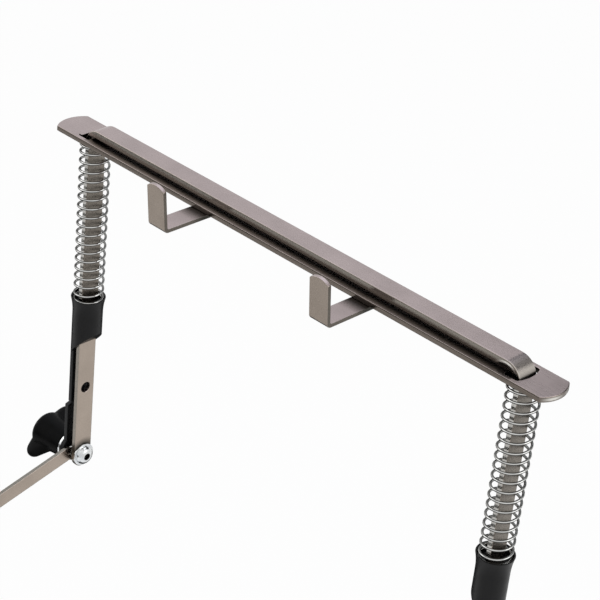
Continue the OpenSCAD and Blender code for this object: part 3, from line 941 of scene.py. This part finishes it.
@dataclass
class CoilSpring:
    """A compression spring round one upright, wound from one wire with close end turns."""

    side: Side
    start: float
    turns: float = 19.75
    end_turns: float = 1.25
    end_pitch: float = 1.5 * MM
    wire_r: float = 0.55 * MM
    coil_r: float = 6.6 * MM
    axis_x: float = 124.0 * MM
    low: float = PIVOT.z + 86.0 * MM
    high: float = PIVOT.z + 167.9 * MM
    chamfer: float = 0.12 * MM
    seat_play: float = 0.05 * MM
    travel: float = 55 * MM
    rings: int = 32
    sides: int = 12

    @property
    def pitch(self) -> float:
        """Rise of the open turns that fills the room between the ends."""
        room = self.high - self.low
        return self.end_pitch + (room - self.end_pitch * self.turns) / (self.turns - 2 * self.end_turns)

    def climb(self, t: float) -> float:
        """Turns climbed at the full pitch after t turns, which sets in gently over one turn."""
        u = t - self.end_turns + 0.5
        return 0.0 if u < 0 else u * u / 2 if u < 1 else u - 0.5

    def rise(self, t: float) -> float:
        """Height of the wire above the lower end after t turns, alike from both ends.

        Args:
            t: Turns from the lower end.

        Returns:
            The height, in metres.
        """
        if t > self.turns / 2:
            return self.high - self.low - self.rise(self.turns - t)
        return self.end_pitch * t + (self.pitch - self.end_pitch) * self.climb(t)

    def ring(self, t: float, ahead: float, radius: float) -> list[Vector]:
        """Makes a ring of points round the wire.

        Args:
            t: Turns from the lower end.
            ahead: How far the ring is pushed on along the wire.
            radius: The ring's radius.

        Returns:
            The ring's points.
        """
        a = math.radians(self.start) + math.tau * t
        out = Vector((math.cos(a), math.sin(a), 0.0))
        near = 0.01
        slope = (self.rise(t + near) - self.rise(t - near)) / (2 * near * math.tau * self.coil_r)
        way = Vector((-math.sin(a), math.cos(a), slope)).normalized()
        up = out.cross(way)
        axis = Vector((self.side.value * self.axis_x, PIVOT.y, self.low + self.rise(t)))
        middle = axis + self.coil_r * out + ahead * way
        return [middle + radius * (math.cos(b) * out + math.sin(b) * up)
                for b in (math.tau * (k + 0.5) / self.sides for k in range(self.sides))]

    def wind(self, material: Material) -> Object:
        """Winds the wire into one closed tube, with its cut ends broken by a small chamfer.

        Args:
            material: The wire's finish.

        Returns:
            The spring.
        """
        steps = int(self.turns * self.rings)
        length, tip = 2 * self.wire_r, self.wire_r - self.chamfer
        rows = [self.ring(0, -length, tip), self.ring(0, self.chamfer - length, self.wire_r)]
        rows += [self.ring(self.turns * i / steps, 0.0, self.wire_r) for i in range(steps + 1)]
        rows += [self.ring(self.turns, length - self.chamfer, self.wire_r)]
        rows += [self.ring(self.turns, length, tip)]
        n, last = self.sides, len(rows) - 1
        faces = [(i * n + k, (i + 1) * n + k, (i + 1) * n + (k + 1) % n, i * n + (k + 1) % n)
                 for i in range(last) for k in range(n)]
        faces += [tuple(range(n)), tuple(last * n + k for k in range(n - 1, -1, -1))]
        piece = place_mesh(f"coil_{self.side.word}", [p for row in rows for p in row], faces, material)
        for face in piece.data.polygons:
            face.use_smooth = len(face.vertices) == 4
        return piece

    def fit(self, material: Material) -> None:
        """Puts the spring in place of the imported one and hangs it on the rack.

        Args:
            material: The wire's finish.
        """
        piece = self.wind(material)
        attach(piece, "rack")
        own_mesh(piece)
        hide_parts(f"spring_{self.side.word}")
        LOG.info("%s: %d faces, open pitch %.3f mm", piece.name, len(piece.data.polygons), self.pitch / MM)


def prism(name: str, rows: Sequence[Sequence[Sequence[float]]], material: Material) -> Object:
    """Makes a solid piece of strip between two like outlines.

    Args:
        name: The piece's name.
        rows: The corners of the two outlines, in the same order.
        material: Its finish.

    Returns:
        The piece.
    """
    n = len(rows[0])
    faces = [tuple(range(n)), tuple(range(n, 2 * n))]
    faces += [(k, (k + 1) % n, n + (k + 1) % n, n + k) for k in range(n)]
    piece = place_mesh(name, [*rows[0], *rows[1]], faces, material)
    shell = bmesh.new()
    shell.from_mesh(piece.data)
    bmesh.ops.recalc_face_normals(shell, faces=shell.faces)
    shell.to_mesh(piece.data)
    shell.free()
    LOG.info("%s: %d corners", name, 2 * n)
    return piece


@dataclass
class ClampFrame:
    """The bent strip frame, the sprung plate under its crossbar and the plate's stop tabs.

    The outlines of the slots' lip and linings are seen from above, in millimetres.
    """

    edge: Rounding = field(default_factory=lambda: Rounding(0.45 * MM, segments=3))
    tab_edge: Rounding = field(default_factory=lambda: Rounding(0.22 * MM))
    bend_in_r: float = 5.5 * MM
    half_w: float = 5.01 * MM
    bar_lining: float = 0.7 * MM
    bar_sunk: float = 0.55 * MM
    bar_start: int = 40
    bar_step: int = 5
    lip_left: Outline = ((-126.5, -6.1), (-126.5, 7.3), (-129.6, 7.3), (-129.6, -6.1))
    lip_span: Span = (-1.5 * MM, 0.03 * MM)
    lining_left: Outline = ((-121.1, -7.0), (-121.1, 7.0), (-121.9, 7.0), (-121.9, -5.3), (-126.0, -5.3),
                            (-126.0, 7.0), (-129.3, 7.0), (-129.3, -7.0))
    lining_right: Outline = ((118.3, -7.0), (126.6, -7.0), (126.6, -5.3), (121.9, -5.3), (121.9, 7.0),
                             (118.3, 7.0))
    lining_span: Span = (0.1 * MM, 0.8 * MM)

    def dress(self) -> None:
        """Gives the frame, the plate and the tabs their finish, linings and rounded edges."""
        strip = FrameNickel().make()
        frame = finish_node("clamp_frame", strip)
        self.line_crossbar(strip)
        nickel = PlateNickel().make()
        plate = finish_node("holder_plate", nickel)
        self.line_slots(nickel)
        tab_nickel = TabNickel().make()
        self.edge.put_on(frame)
        self.edge.put_on(plate)
        for side in Side:
            self.tab_edge.put_on(finish_node(f"stop_tab_{side.word}", tab_nickel))

    def line_slots(self, nickel: Material) -> None:
        """Narrows the slots to the play that the photograph shows, by a lip and two linings.

        Args:
            nickel: The plate's finish.
        """
        low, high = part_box("holder_plate")
        # Painted shade: the linings narrow the slots and carry the slots' near-black shade.
        dark = LiningShadeNickel().make()
        self.cut_shim("slot_lip_left", self.lip_left, high.z, self.lip_span, nickel)
        self.cut_shim("slot_lining_left", self.lining_left, low.z, self.lining_span, dark)
        self.cut_shim("slot_lining_right", self.lining_right, low.z, self.lining_span, dark)

    @staticmethod
    def cut_shim(name: str, outline: Outline, level: float, span: Span, material: Material) -> None:
        """Makes a flat shim that rides on the plate.

        Args:
            name: The piece's name.
            outline: Its corners from above, in millimetres.
            level: The Z that its height is counted from.
            span: Its lowest and highest point over that level, in metres.
            material: Its finish.
        """
        rows = [[(PIVOT.x + x * MM, PIVOT.y + y * MM, level + z) for x, y in outline] for z in span]
        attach(prism(name, rows, material), "plate")

    def on_bend(self, side: Side, degrees: float, out: float) -> tuple[float, float]:
        """Finds a corner of the crossbar's lining in a bend.

        Args:
            side: The bend's side.
            degrees: The corner's angle about the bend's middle, up from level.
            out: How far outside the bend's inner face it would lie at the crossbar.

        Returns:
            Its X and Z.
        """
        a = math.radians(degrees)
        r = self.bend_in_r + out * (degrees - self.bar_start) / (90 - self.bar_start)
        return side.value * (BEND[0] * MM + r * math.cos(a)), PIVOT.z + BEND[2] * MM + r * math.sin(a)

    def line_crossbar(self, nickel: Material) -> None:
        """Lines the crossbar from below, nearer to the photograph's thickness, out into both bends.

        Args:
            nickel: The frame's finish.
        """
        up = range(self.bar_start, 91, self.bar_step)
        turns = [(Side.LEFT, degrees) for degrees in up]
        turns += [(Side.RIGHT, degrees) for degrees in reversed(up)]
        outline = [self.on_bend(*turn, self.bar_sunk) for turn in turns]
        outline += [self.on_bend(*turn, -self.bar_lining) for turn in turns[-2:0:-1]]
        rows = [[(x, PIVOT.y + y, z) for x, z in outline] for y in (-self.half_w, self.half_w)]
        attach(prism("crossbar_lining", rows, nickel), "rack")


@dataclass
class SpringSeats:
    """The two springs and the moulded guides that carry them on the uprights."""

    starts: dict[Side, float] = field(default_factory=lambda: {Side.LEFT: 340.0, Side.RIGHT: 110.0})
    edge: Rounding = field(default_factory=lambda: Rounding(0.25 * MM))

    def dress(self) -> None:
        """Winds the springs and finishes the guides."""
        wire = BrightWire().make()
        plastic = BlackMoulding("plastic_guide").make()
        for side in Side:
            CoilSpring(side, self.starts[side]).fit(wire)
            self.edge.put_on(finish_node(f"spring_guide_{side.word}", plastic))


@dataclass
class Pivots:
    """The screws, the washers and the wing nuts that clamp the frame to the loop."""

    edge: Rounding = field(default_factory=lambda: Rounding(0.12 * MM))
    skin: Melting = field(default_factory=lambda: Melting(0.3 * MM, 8))
    nut_seat: float = 133.25 * MM

    def dress(self) -> None:
        """Finishes the hardware and blends the wing nuts' wings into their hubs."""
        zinc = BrightZinc("zinc_plate").make()
        # Painted shade: the toothed washers, which sit between each upright and the loop, get a near-black
        # copy of the zinc with pale highlights.
        shaded_teeth = BrightZinc("zinc_teeth_shaded", dark=(0.015, 0.015, 0.014), light=(0.30, 0.30, 0.29),
                           cast=(0.04, 0.04, 0.036)).make()
        plastic = BlackMoulding("plastic_nut", skin=(0.0040, 0.0040, 0.0042), worn=(0.010, 0.010, 0.0105),
                                gloss=0.04).make()
        for side in Side:
            for part in ("pivot_screw", "flat_washer", "nut_insert"):
                self.edge.put_on(finish_node(f"{part}_{side.word}", zinc))
            self.edge.put_on(finish_node(f"toothed_washer_{side.word}", shaded_teeth))
            seat = PIVOT + Vector((side.value * self.nut_seat, 0.0, 0.0))
            self.skin.put_on(finish_node(f"wing_nut_{side.word}", plastic), seat)


@dataclass
class NeckLoop:
    """The bent strip that goes round the neck."""

    edge: Rounding = field(default_factory=lambda: Rounding(0.3 * MM))

    def dress(self) -> None:
        """Gives the loop its finish and its rounded edges."""
        nickel = SatinNickel("nickel_loop", Run.NONE, Edges.TOP_AND_BOTTOM).make()
        self.edge.put_on(finish_node("neck_loop", nickel))


def face(thing: Object, place: Vector, aim: Vector) -> None:
    """Puts a lamp or a card in its place, facing a point.

    Args:
        thing: The lamp or card.
        place: Its place.
        aim: The point.
    """
    thing.location = place
    thing.rotation_mode = "QUATERNION"
    thing.rotation_quaternion = (aim - place).to_track_quat("-Z", "Y")


def panel(name: str, width: float, height: float, level: float, material: Material) -> Object:
    """Makes a flat panel round the origin.

    Args:
        name: Its name.
        width: Its size along X.
        height: Its size along Y.
        level: Its Z.
        material: Its finish.

    Returns:
        The panel.
    """
    x, y = width / 2, height / 2
    corners = [(-x, -y, level), (x, -y, level), (x, y, level), (-x, y, level)]
    return place_mesh(name, corners, [(0, 1, 2, 3)], material)


def mix_by_ray(tree: NodeTree, lit: Socket, seen: Socket, end: Node, most: float) -> None:
    """Shows one shader to the camera and in mirrors, and gives the other to the rays that light.

    Args:
        tree: The node tree of the world or the floor.
        lit: The shader that lights.
        seen: The shader that shows.
        end: The output node.
        most: The share of the shader that shows.
    """
    path = add_node(tree, "ShaderNodeLightPath", {}).outputs
    direct = path["Is Camera Ray"]
    for name in ("Is Glossy Ray", "Is Transmission Ray"):
        larger = add_node(tree, "ShaderNodeMath", {0: direct, 1: path[name]}, operation="MAXIMUM")
        direct = larger.outputs[0]
    share = add_node(tree, "ShaderNodeMath", {0: direct, 1: most}, operation="MULTIPLY")
    mix = add_node(tree, "ShaderNodeMixShader", {0: share.outputs[0], 1: lit, 2: seen})
    fill(tree, end, {"Surface": mix.outputs[0]})


@dataclass(frozen=True)
class Lamp:
    """A soft lamp: a square panel that faces a point."""

    name: str
    place: Vector
    aim: Vector
    size: float
    power: float
    colour: Colour = (1.0, 1.0, 1.0)

    def light(self) -> None:
        """Adds the lamp to the scene."""
        data = bpy.data.lights.new(self.name, "AREA")
        data.shape, data.size, data.energy, data.color = "SQUARE", self.size, self.power, self.colour
        lamp = bpy.data.objects.new(self.name, data)
        face(lamp, self.place, self.aim)
        bpy.context.scene.collection.objects.link(lamp)


@dataclass(frozen=True)
class Card:
    """A dark card out of the picture, which gives bright metal its dark lines."""

    name: str
    place: Vector
    aim: Vector
    width: float
    height: float
    paint: Colour = (0.02, 0.02, 0.02)
    rough: float = 0.9

    def hang(self) -> None:
        """Hangs the card where only reflections find it."""
        sheet = FinishSheet("card_black")
        sheet.coat(Base_Color=(*self.paint, 1.0), Roughness=self.rough)
        card = panel(self.name, self.width, self.height, 0.0, sheet.material)
        face(card, self.place, self.aim)
        card.visible_camera = card.visible_diffuse = card.visible_shadow = False


@dataclass
class Studio:
    """A pale floor, a white background, soft lamps and the camera at the photograph's angle."""

    floor_height: float = -0.30
    floor_span: float = 14.0
    floor_paint: Colour = (0.92, 0.92, 0.92)
    floor_glow: float = 0.95
    eye: Vector = field(default_factory=lambda: Vector((0.492639, -0.312250, 0.617482)))
    right: Vector = field(default_factory=lambda: Vector((0.705176, 0.702954, 0.092645)))
    up: Vector = field(default_factory=lambda: Vector((-0.408151, 0.295607, 0.863730)))
    lens: float = 122.1036
    sensor: float = 36.0
    sight: Span = (0.01, 50.0)
    middle: Vector = field(default_factory=lambda: Vector((0.0, 0.2, 0.17)))
    daylight: float = 0.55

    def set_up(self) -> None:
        """Builds the whole studio."""
        self.point_camera()
        self.lay_floor()
        self.fill_world()
        Lamp("lamp_overhead", Vector((-0.5, 0.9, 2.0)), self.middle, size=1.8, power=8.0,
             colour=(0.80, 0.89, 1.0)).light()
        Lamp("lamp_left", Vector((-1.7, -0.7, 1.1)), self.middle, size=1.2, power=6.0).light()
        Lamp("lamp_right", Vector((1.7, 0.7, 0.9)), self.middle, size=1.2, power=6.0).light()
        under = Vector((-0.52, 0.62, -0.28))
        Card("flag_front", Vector((-0.45, -0.75, -0.28)), self.middle, width=1.1, height=0.85).hang()
        Card("flag_under", under, Vector((under.x, under.y, 0.0)), width=1.05, height=1.0).hang()
        Card("flag_back", Vector((0.12, 1.45, 0.95)), self.middle, width=1.5, height=0.9).hang()
        bpy.context.scene.view_settings.view_transform = "Standard"

    def point_camera(self) -> None:
        """Creates the camera and points it as in the photograph."""
        data = bpy.data.cameras.new("camera")
        data.lens, data.sensor_width = self.lens, self.sensor
        data.clip_start, data.clip_end = self.sight
        camera = bpy.data.objects.new("camera", data)
        right = self.right.normalized()
        back = right.cross(self.up).normalized()
        up = back.cross(right)
        camera.matrix_world = Matrix((
            (right.x, up.x, back.x, self.eye.x), (right.y, up.y, back.y, self.eye.y),
            (right.z, up.z, back.z, self.eye.z), (0.0, 0.0, 0.0, 1.0)))
        bpy.context.scene.collection.objects.link(camera)
        bpy.context.scene.camera = camera

    def fill_world(self) -> None:
        """Makes the world white to look at and even in the light that it gives."""
        world = bpy.data.worlds.new("studio_world")
        world.use_nodes = True
        tree = world.node_tree
        tree.nodes.clear()
        lit = add_node(tree, "ShaderNodeBackground", {"Color": WHITE, "Strength": self.daylight})
        seen = add_node(tree, "ShaderNodeBackground", {"Color": WHITE, "Strength": 1.0})
        end = add_node(tree, "ShaderNodeOutputWorld", {})
        mix_by_ray(tree, lit.outputs[0], seen.outputs[0], end, 1.0)
        bpy.context.scene.world = world

    def lay_floor(self) -> None:
        """Lays a pale floor, below where the tilted frame can reach."""
        material = bpy.data.materials.new("floor_white")
        material.use_nodes = True
        tree = material.node_tree
        tree.nodes.clear()
        paint = add_node(tree, "ShaderNodeBsdfDiffuse", {"Color": (*self.floor_paint, 1.0)})
        glow = add_node(tree, "ShaderNodeEmission", {"Color": WHITE})
        end = add_node(tree, "ShaderNodeOutputMaterial", {})
        mix_by_ray(tree, paint.outputs[0], glow.outputs[0], end, self.floor_glow)
        panel("floor", self.floor_span, self.floor_span, self.floor_height, material)


def main() -> None:
    """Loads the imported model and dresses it, piece by piece."""
    logging.basicConfig(level=logging.INFO, format="%(name)s: %(message)s")
    for other in list(bpy.data.objects):
        bpy.data.objects.remove(other)
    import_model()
    Studio().set_up()
    for assembly in (NeckLoop(), ClampFrame(), SpringSeats(), Pivots()):
        LOG.info("%s", type(assembly).__name__)
        assembly.dress()


if __name__ == "__main__":
    main()
